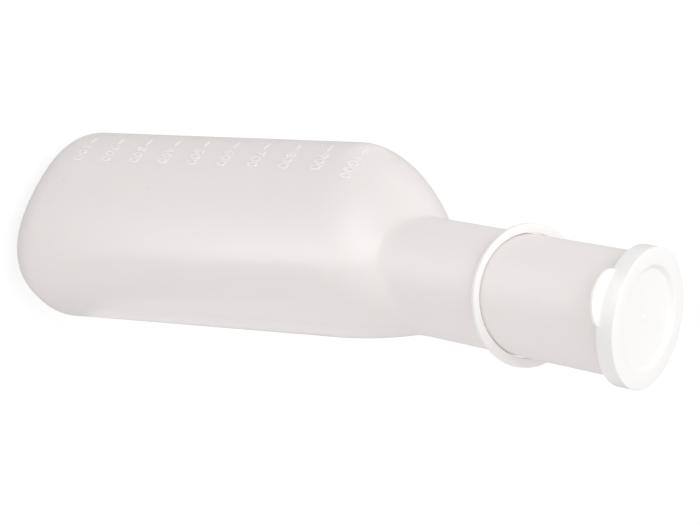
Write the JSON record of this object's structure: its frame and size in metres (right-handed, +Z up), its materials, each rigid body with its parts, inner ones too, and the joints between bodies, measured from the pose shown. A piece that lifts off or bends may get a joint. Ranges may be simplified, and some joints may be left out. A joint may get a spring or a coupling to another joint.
{
  "type": "urine bottle",
  "caption": "Milky oval urine bottle with an offset leaning neck, raised volume scale, and a push-on lid tethered by a strap and loose neck ring.",
  "frame": {"origin": "middle of the foot that the bottle stands on", "axes": "+Z up the body's axis towards the mouth, X across the body's width, Y along its depth; the neck stands off centre and leans towards -Y"},
  "size_m": [0.0749, 0.109, 0.3483],
  "materials": {
    "milky_plastic": "milky translucent moulded polyethylene, soft sheen",
    "white_plastic": "opaque white moulded polyethylene, satin"
  },
  "bodies": {
    "bottle": {"bottle": "milky_plastic"},
    "tether": {"retaining_ring": "white_plastic", "strap": "white_plastic"},
    "lid": {"lid": "white_plastic"}
  },
  "joints": [
    {"name": "tether_turn", "type": "hinge", "parent": "bottle", "child": "tether", "pos_m": [0, -0.02343, 0.28709], "axis": [0, -0.1175, 0.9931], "continuous": true},
    {"name": "lid_flip", "type": "hinge", "parent": "tether", "child": "lid", "pos_m": [0.02958, -0.01987, 0.33876], "axis": [-0.309, 0.9445, 0.1118], "range_deg": [0, 180]}
  ]
}
